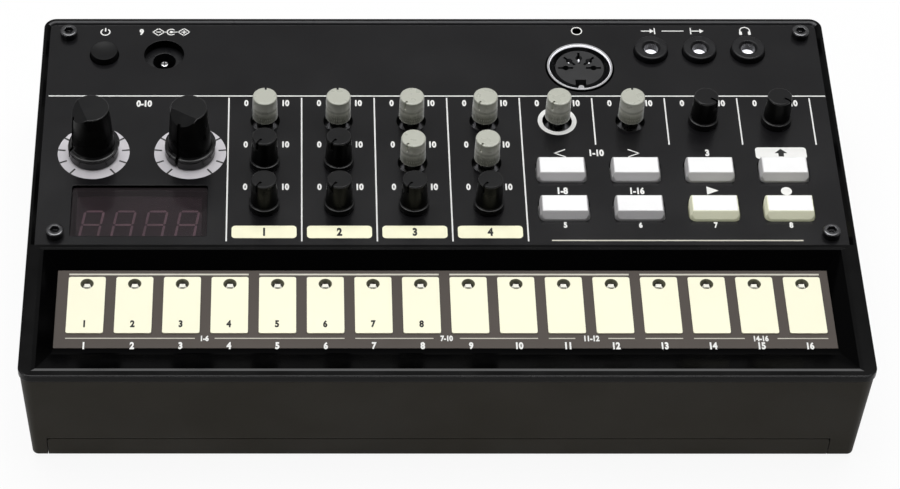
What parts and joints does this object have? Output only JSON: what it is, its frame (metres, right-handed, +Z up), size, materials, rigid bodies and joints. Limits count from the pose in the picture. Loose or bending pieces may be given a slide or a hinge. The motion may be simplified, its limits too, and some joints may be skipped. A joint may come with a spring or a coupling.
{
  "type": "drum machine",
  "caption": "Tabletop drum machine: black case, rows of knobs, push buttons, small display, strip of touch keys, sockets on top, sliding battery hatch below.",
  "frame": {"origin": "middle of the base, on the table plane under the feet", "axes": "+X to the right along the keys, +Y to the sockets at the back, +Z up through the panel"},
  "size_m": [0.1935, 0.115, 0.046],
  "materials": {
    "case_plastic": "fine-textured black moulding",
    "panel_plastic": "satin black panel with light printing; gloss on the rim and slopes",
    "plate_grey": "dark grey touch plate, fine grain",
    "key_cream": "cream touch keys, satin",
    "lamp_lens": "pale unlit lamp blocks",
    "circuit_board": "green lacquered board",
    "black_steel": "black oxide screws, worn edges",
    "insulator": "dark grey socket insert",
    "bright_metal": "plated, bright",
    "socket_black": "black socket collars",
    "display_black": "black display body",
    "smoked_window": "smoked display window, glossy",
    "control_metal": "plain housings",
    "speaker_grey": "pressed frame, paper cone",
    "contact_metal": "nickel-plated springs and plates",
    "foot_rubber": "black rubber",
    "knob_black": "black, semi-gloss skirt",
    "knob_clear": "frosted translucent cap",
    "shaft_metal": "splined shaft end",
    "button_white": "white caps, satin gloss"
  },
  "bodies": {
    "case": {"bottom_case": "case_plastic", "top_case": "panel_plastic", "touch_plate": "plate_grey", "touch_pads": "key_cream", "step_leds": "lamp_lens", "touch_board": "circuit_board", "case_screws": "black_steel", "midi_socket": "insulator", "midi_shell": "bright_metal", "mini_jacks": "socket_black", "dc_jack": "socket_black", "dc_pin": "bright_metal", "display_module": "display_black", "display_window": "smoked_window", "panel_board": "circuit_board", "io_board": "circuit_board", "main_board": "circuit_board", "battery_box": "case_plastic", "potentiometers": "control_metal", "switches": "insulator", "speaker": "speaker_grey", "battery_contacts": "contact_metal", "rear_feet": "foot_rubber"},
    "left_dial": {"dial_left": "knob_black"},
    "right_dial": {"dial_right": "knob_black"},
    "small_knob_11": {"knob_11": "knob_clear", "shaft_11": "shaft_metal"},
    "small_knob_12": {"knob_12": "knob_clear", "shaft_12": "shaft_metal"},
    "small_knob_13": {"knob_13": "knob_clear", "shaft_13": "shaft_metal"},
    "small_knob_14": {"knob_14": "knob_clear", "shaft_14": "shaft_metal"},
    "small_knob_15": {"knob_15": "knob_clear", "shaft_15": "shaft_metal"},
    "small_knob_16": {"knob_16": "knob_clear", "shaft_16": "shaft_metal"},
    "small_knob_17": {"knob_17": "knob_black"},
    "small_knob_18": {"knob_18": "knob_black"},
    "small_knob_21": {"knob_21": "knob_black"},
    "small_knob_22": {"knob_22": "knob_black"},
    "small_knob_23": {"knob_23": "knob_clear", "shaft_23": "shaft_metal"},
    "small_knob_24": {"knob_24": "knob_clear", "shaft_24": "shaft_metal"},
    "small_knob_31": {"knob_31": "knob_black"},
    "small_knob_32": {"knob_32": "knob_black"},
    "small_knob_33": {"knob_33": "knob_black"},
    "small_knob_34": {"knob_34": "knob_black"},
    "push_button_11": {"button_11": "button_white"},
    "push_button_12": {"button_12": "button_white"},
    "push_button_13": {"button_13": "button_white"},
    "push_button_14": {"button_14": "button_white"},
    "push_button_21": {"button_21": "button_white"},
    "push_button_22": {"button_22": "button_white"},
    "push_button_23": {"button_23": "button_white"},
    "push_button_24": {"button_24": "button_white"},
    "power_switch_button": {"power_button": "knob_black"},
    "hatch": {"battery_hatch": "case_plastic", "front_feet": "foot_rubber"}
  },
  "joints": [
    {"name": "left_dial_turn", "type": "hinge", "parent": "case", "child": "left_dial", "pos_m": [-0.0824, 0.0123, 0.0306], "axis": [0, 0, -1], "range_deg": [-40, 260]},
    {"name": "right_dial_turn", "type": "hinge", "parent": "case", "child": "right_dial", "pos_m": [-0.0593, 0.0123, 0.0306], "axis": [0, 0, -1], "range_deg": [-1, 299]},
    {"name": "small_knob_11_turn", "type": "hinge", "parent": "case", "child": "small_knob_11", "pos_m": [-0.04145, 0.0229, 0.0306], "axis": [0, 0, -1], "range_deg": [-154, 146]},
    {"name": "small_knob_12_turn", "type": "hinge", "parent": "case", "child": "small_knob_12", "pos_m": [-0.02382, 0.0229, 0.0306], "axis": [0, 0, -1], "range_deg": [-146, 154]},
    {"name": "small_knob_13_turn", "type": "hinge", "parent": "case", "child": "small_knob_13", "pos_m": [-0.00619, 0.0229, 0.0306], "axis": [0, 0, -1], "range_deg": [-5, 295]},
    {"name": "small_knob_14_turn", "type": "hinge", "parent": "case", "child": "small_knob_14", "pos_m": [0.01144, 0.0229, 0.0306], "axis": [0, 0, -1], "range_deg": [-5, 295]},
    {"name": "small_knob_15_turn", "type": "hinge", "parent": "case", "child": "small_knob_15", "pos_m": [0.02907, 0.0229, 0.0306], "axis": [0, 0, -1], "range_deg": [-5, 295]},
    {"name": "small_knob_16_turn", "type": "hinge", "parent": "case", "child": "small_knob_16", "pos_m": [0.0467, 0.0229, 0.0306], "axis": [0, 0, -1], "range_deg": [-150, 150]},
    {"name": "small_knob_17_turn", "type": "hinge", "parent": "case", "child": "small_knob_17", "pos_m": [0.06433, 0.0229, 0.0306], "axis": [0, 0, -1], "range_deg": [-275, 25]},
    {"name": "small_knob_18_turn", "type": "hinge", "parent": "case", "child": "small_knob_18", "pos_m": [0.08196, 0.0229, 0.0306], "axis": [0, 0, -1], "range_deg": [-275, 25]},
    {"name": "small_knob_21_turn", "type": "hinge", "parent": "case", "child": "small_knob_21", "pos_m": [-0.04145, 0.00905, 0.0306], "axis": [0, 0, -1], "range_deg": [-5, 295]},
    {"name": "small_knob_22_turn", "type": "hinge", "parent": "case", "child": "small_knob_22", "pos_m": [-0.02382, 0.00905, 0.0306], "axis": [0, 0, -1], "range_deg": [-5, 295]},
    {"name": "small_knob_23_turn", "type": "hinge", "parent": "case", "child": "small_knob_23", "pos_m": [-0.00619, 0.00905, 0.0306], "axis": [0, 0, -1], "range_deg": [-5, 295]},
    {"name": "small_knob_24_turn", "type": "hinge", "parent": "case", "child": "small_knob_24", "pos_m": [0.01144, 0.00905, 0.0306], "axis": [0, 0, -1], "range_deg": [-5, 295]},
    {"name": "small_knob_31_turn", "type": "hinge", "parent": "case", "child": "small_knob_31", "pos_m": [-0.04145, -0.0048, 0.0306], "axis": [0, 0, -1], "range_deg": [-5, 295]},
    {"name": "small_knob_32_turn", "type": "hinge", "parent": "case", "child": "small_knob_32", "pos_m": [-0.02382, -0.0048, 0.0306], "axis": [0, 0, -1], "range_deg": [-5, 295]},
    {"name": "small_knob_33_turn", "type": "hinge", "parent": "case", "child": "small_knob_33", "pos_m": [-0.00619, -0.0048, 0.0306], "axis": [0, 0, -1], "range_deg": [-5, 295]},
    {"name": "small_knob_34_turn", "type": "hinge", "parent": "case", "child": "small_knob_34", "pos_m": [0.01144, -0.0048, 0.0306], "axis": [0, 0, -1], "range_deg": [-5, 295]},
    {"name": "push_button_11_press", "type": "slide", "parent": "case", "child": "push_button_11", "axis": [0, 0, -1], "range_m": [0, 0.0008], "stiffness_N_per_m": 800, "springref_m": -0.0004},
    {"name": "push_button_12_press", "type": "slide", "parent": "case", "child": "push_button_12", "axis": [0, 0, -1], "range_m": [0, 0.0008], "stiffness_N_per_m": 800, "springref_m": -0.0004},
    {"name": "push_button_13_press", "type": "slide", "parent": "case", "child": "push_button_13", "axis": [0, 0, -1], "range_m": [0, 0.0008], "stiffness_N_per_m": 800, "springref_m": -0.0004},
    {"name": "push_button_14_press", "type": "slide", "parent": "case", "child": "push_button_14", "axis": [0, 0, -1], "range_m": [0, 0.0008], "stiffness_N_per_m": 800, "springref_m": -0.0004},
    {"name": "push_button_21_press", "type": "slide", "parent": "case", "child": "push_button_21", "axis": [0, 0, -1], "range_m": [0, 0.0008], "stiffness_N_per_m": 800, "springref_m": -0.0004},
    {"name": "push_button_22_press", "type": "slide", "parent": "case", "child": "push_button_22", "axis": [0, 0, -1], "range_m": [0, 0.0008], "stiffness_N_per_m": 800, "springref_m": -0.0004},
    {"name": "push_button_23_press", "type": "slide", "parent": "case", "child": "push_button_23", "axis": [0, 0, -1], "range_m": [0, 0.0008], "stiffness_N_per_m": 800, "springref_m": -0.0004},
    {"name": "push_button_24_press", "type": "slide", "parent": "case", "child": "push_button_24", "axis": [0, 0, -1], "range_m": [0, 0.0008], "stiffness_N_per_m": 800, "springref_m": -0.0004},
    {"name": "power_button_press", "type": "slide", "parent": "case", "child": "power_switch_button", "axis": [0, 0, -1], "range_m": [0, 0.0008], "stiffness_N_per_m": 800, "springref_m": -0.0004},
    {"name": "hatch_slide", "type": "slide", "parent": "case", "child": "hatch", "axis": [0, -1, 0], "range_m": [0, 0.045]}
  ]
}
